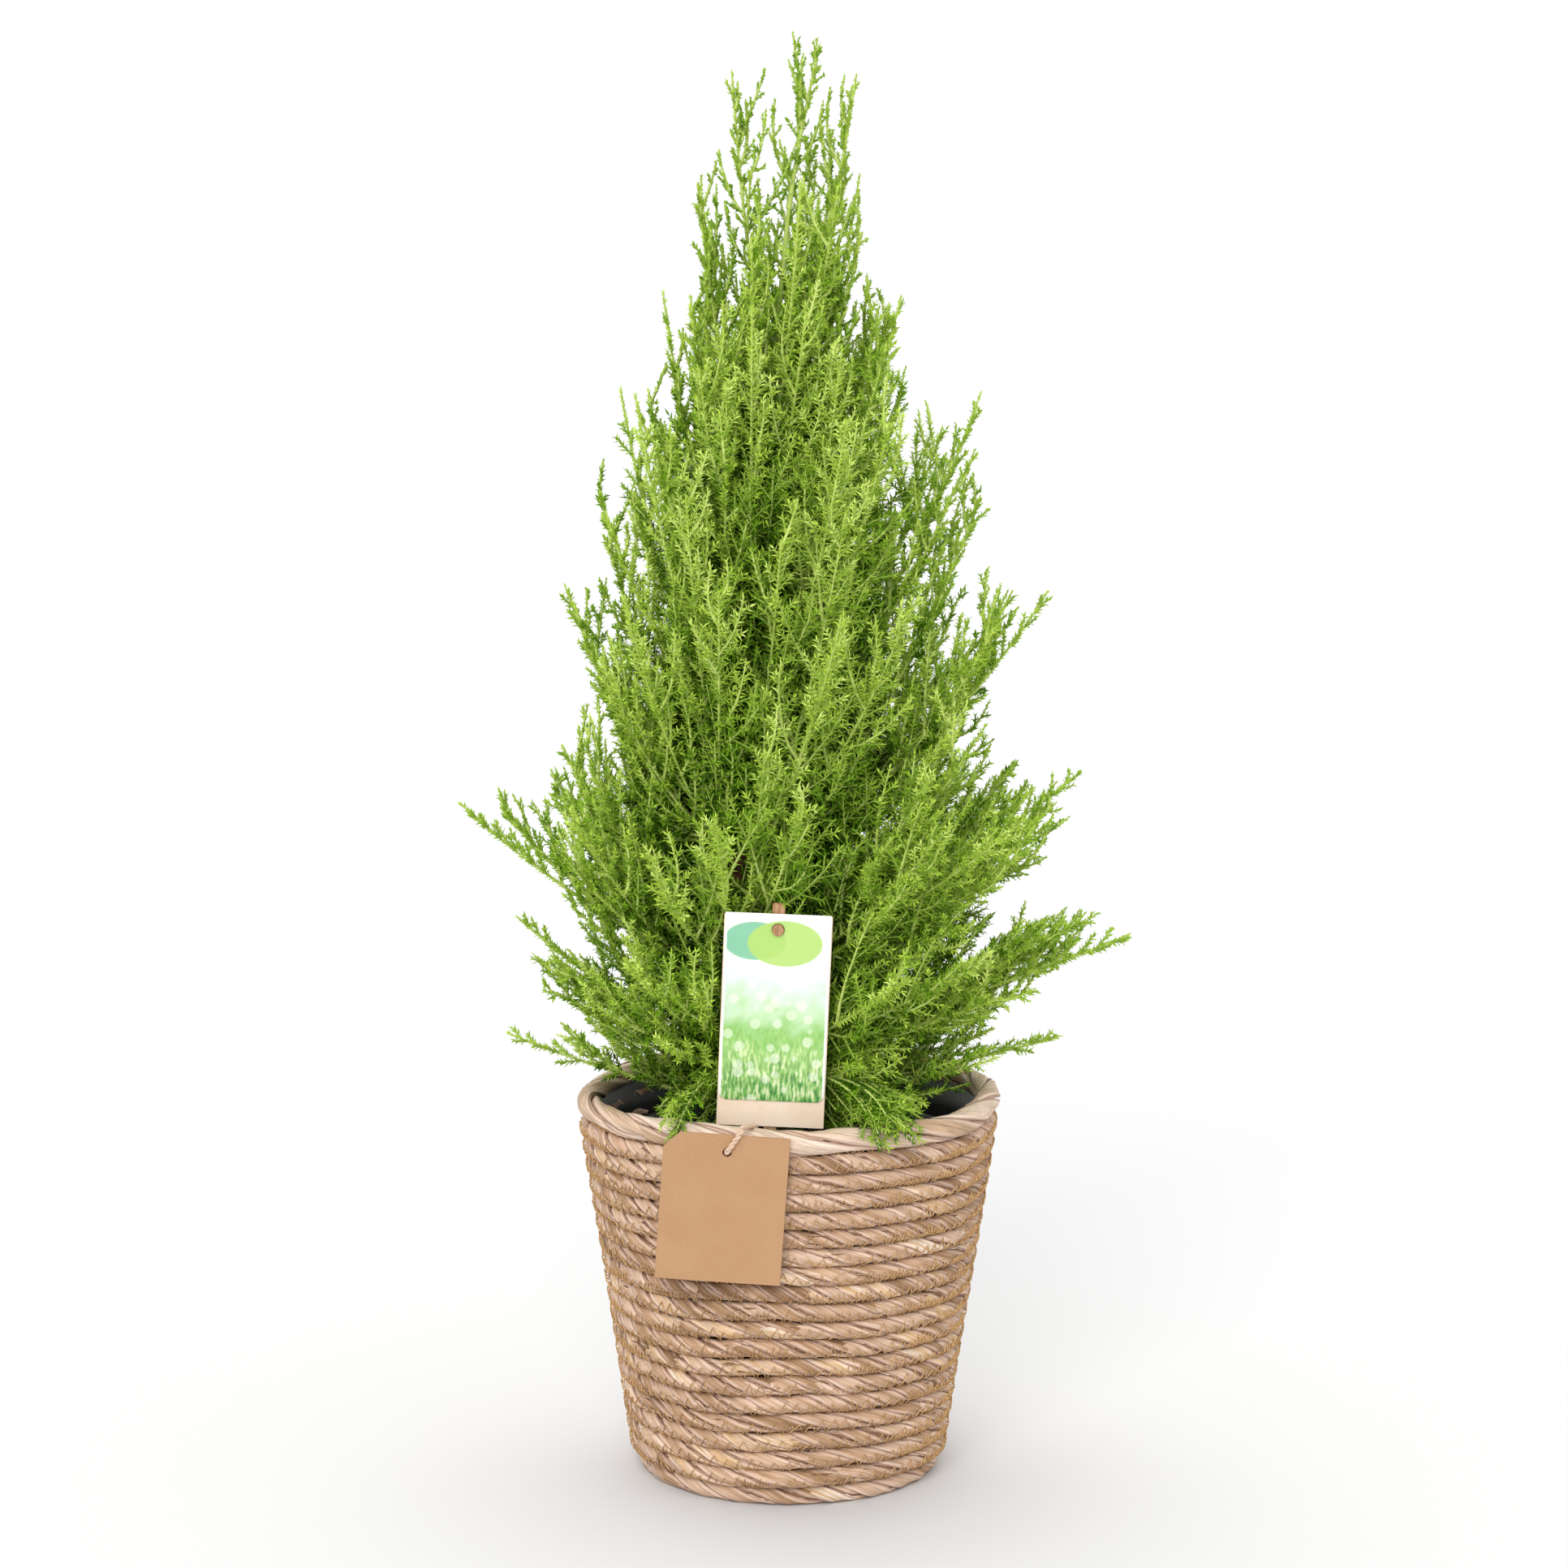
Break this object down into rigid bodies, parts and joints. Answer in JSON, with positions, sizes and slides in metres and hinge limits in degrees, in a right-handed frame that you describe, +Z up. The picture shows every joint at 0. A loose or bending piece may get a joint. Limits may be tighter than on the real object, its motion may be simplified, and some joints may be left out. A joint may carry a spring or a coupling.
{
  "type": "lemon cypress",
  "caption": "Young conical lemon cypress with feathery upright plumes, in a tapered coiled-rope basket with a picture card on a stick and a blank kraft tag on twine.",
  "frame": {"origin": "centre of the basket's flat underside", "axes": "+Z up along the basket's axis, -Y towards the side with the picture card and the tag"},
  "size_m": [0.3642, 0.2925, 0.776],
  "materials": {
    "basket_rope": "matte twisted dry leaf rope",
    "black_plastic": "satin",
    "soil": "moist and crumbly",
    "bark": "matte young bark",
    "foliage": "soft waxy needles",
    "stick_wood": "raw wood",
    "kraft_board": "matte kraft",
    "printed_card": "coated print",
    "twine": "hairy twisted twine"
  },
  "bodies": {
    "root": {"basket": "basket_rope", "bough_lower_1": "bark", "bough_lower_2": "bark", "bough_lower_3": "bark", "bough_lower_4": "bark", "bough_lower_5": "bark", "bough_lower_6": "bark", "bough_skirt_1": "bark", "bough_skirt_2": "bark", "bough_skirt_3": "bark", "bough_skirt_4": "bark", "bough_skirt_5": "bark", "bough_skirt_6": "bark", "card_backing": "kraft_board", "card_stick": "stick_wood", "foliage_foot_1": "foliage", "foliage_foot_2": "foliage", "foliage_foot_3": "foliage", "foliage_foot_4": "foliage", "foliage_foot_5": "foliage", "foliage_foot_6": "foliage", "foliage_leader": "foliage", "foliage_lower_1": "foliage", "foliage_lower_2": "foliage", "foliage_lower_3": "foliage", "foliage_lower_4": "foliage", "foliage_lower_5": "foliage", "foliage_lower_6": "foliage", "foliage_middle_1": "foliage", "foliage_middle_2": "foliage", "foliage_middle_3": "foliage", "foliage_middle_4": "foliage", "foliage_middle_5": "foliage", "foliage_middle_6": "foliage", "foliage_shoulder_1": "foliage", "foliage_shoulder_2": "foliage", "foliage_shoulder_3": "foliage", "foliage_shoulder_4": "foliage", "foliage_shoulder_5": "foliage", "foliage_skirt_1": "foliage", "foliage_skirt_2": "foliage", "foliage_skirt_3": "foliage", "foliage_skirt_4": "foliage", "foliage_skirt_5": "foliage", "foliage_skirt_6": "foliage", "foliage_spire_1": "foliage", "foliage_spire_2": "foliage", "foliage_top_1": "foliage", "foliage_top_2": "foliage", "foliage_top_3": "foliage", "foliage_upper_1": "foliage", "foliage_upper_2": "foliage", "foliage_upper_3": "foliage", "foliage_upper_4": "foliage", "kraft_tag": "kraft_board", "nursery_pot": "black_plastic", "picture_card": "printed_card", "soil": "soil", "trunk": "bark", "twine": "twine"}
  },
  "joints": []
}
